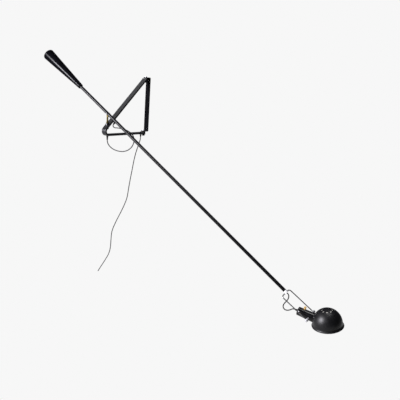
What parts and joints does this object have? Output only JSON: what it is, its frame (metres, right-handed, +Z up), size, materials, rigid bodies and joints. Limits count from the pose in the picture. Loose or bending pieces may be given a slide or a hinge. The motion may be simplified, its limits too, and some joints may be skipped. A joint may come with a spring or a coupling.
{
  "type": "wall lamp",
  "caption": "Wall-mounted lamp: swinging triangular bracket, long tilting arm with conical counterweight, and a dome shade held in a wire yoke.",
  "frame": {"origin": "middle of the wall bar's back face, half-way between its two screw holes", "axes": "+Z up, +Y into the wall, the room is towards -Y, and at rest the arm reaches along +X"},
  "size_m": [1.7246, 0.3871, 1.3336],
  "materials": {
    "black_enamel": "satin black stove enamel",
    "black_gloss_tube": "gloss black enamel",
    "black_iron": "gloss black enamel over cast iron",
    "shade_black": "satin black enamel on spun aluminium",
    "steel": "polished",
    "dark_steel": "blackened",
    "aluminium": "satin",
    "brass": "aged",
    "fibre": "pressed fibre",
    "rubber": "matte",
    "cord": "matt sheath",
    "ceramic": "glazed",
    "opal_glass": "opal",
    "bakelite": "moulded"
  },
  "bodies": {
    "wall": {"wall_bar": "black_enamel", "hinge_bolts": "steel", "hinge_nuts": "black_enamel", "hinge_washers": "brass"},
    "bracket": {"bracket_tube": "black_enamel", "upper_knuckle": "black_enamel", "lower_knuckle": "black_enamel", "swivel_sleeve": "black_enamel", "swivel_screw": "steel", "rear_gland": "rubber", "front_gland": "rubber", "bracket_lead": "cord", "mains_cord": "cord", "jumper_cord": "cord", "swivel_washer": "brass"},
    "swivel": {"swivel_pin": "brass"},
    "arm": {"arm_tube": "black_gloss_tube", "arm_gland": "rubber", "arm_lead": "cord", "friction_washers": "fibre", "tilt_bolt": "dark_steel", "tilt_nut": "dark_steel", "counterweight": "black_iron", "counterweight_screw": "steel", "spigot_screw": "steel"},
    "yoke": {"end_fitting": "aluminium", "yoke_wire": "steel", "head_cord": "cord"},
    "head": {"holder": "black_enamel", "rear_cap": "black_enamel", "cap_screws": "steel", "head_gland": "rubber", "pivot_studs": "steel", "pivot_washers": "steel", "pivot_nuts": "steel", "lamp_socket": "ceramic", "socket_ring": "aluminium", "socket_shell": "brass", "centre_contact": "brass", "bulb_base": "aluminium", "bulb_glass": "opal_glass", "switch_body": "bakelite", "switch_nut": "brass", "switch_wires": "cord", "shade": "shade_black", "seat_ring": "black_enamel", "seat_screws": "steel"},
    "switch": {"switch_key": "brass"}
  },
  "joints": [
    {"name": "bracket_swing", "type": "hinge", "parent": "wall", "child": "bracket", "pos_m": [0, -0.024, 0], "axis": [0, 0, 1], "range_deg": [-80, 80]},
    {"name": "arm_swivel", "type": "hinge", "parent": "bracket", "child": "swivel", "pos_m": [0, -0.3014, 0], "axis": [0, 0, 1], "range_deg": [-60, 15], "deforming": ["jumper_cord"]},
    {"name": "arm_tilt", "type": "hinge", "parent": "swivel", "child": "arm", "pos_m": [0, -0.3014, -0.0463], "axis": [0.1374, -0.9905, 0], "range_deg": [-14, 60]},
    {"name": "yoke_roll", "type": "hinge", "parent": "arm", "child": "yoke", "pos_m": [1.02443, -0.15925, -0.74654], "axis": [0.8202, 0.1138, -0.5606], "range_deg": [-90, 90]},
    {"name": "head_tilt", "type": "hinge", "parent": "yoke", "child": "head", "pos_m": [1.15156, -0.14161, -0.83344], "axis": [0.0349, -0.9881, -0.1495], "range_deg": [-70, 70], "deforming": ["head_cord"]},
    {"name": "switch_turn", "type": "hinge", "parent": "head", "child": "switch", "pos_m": [1.12033, -0.14328, -0.82967], "axis": [0.118, 0.0298, 0.9926], "range_deg": [0, 90]}
  ]
}
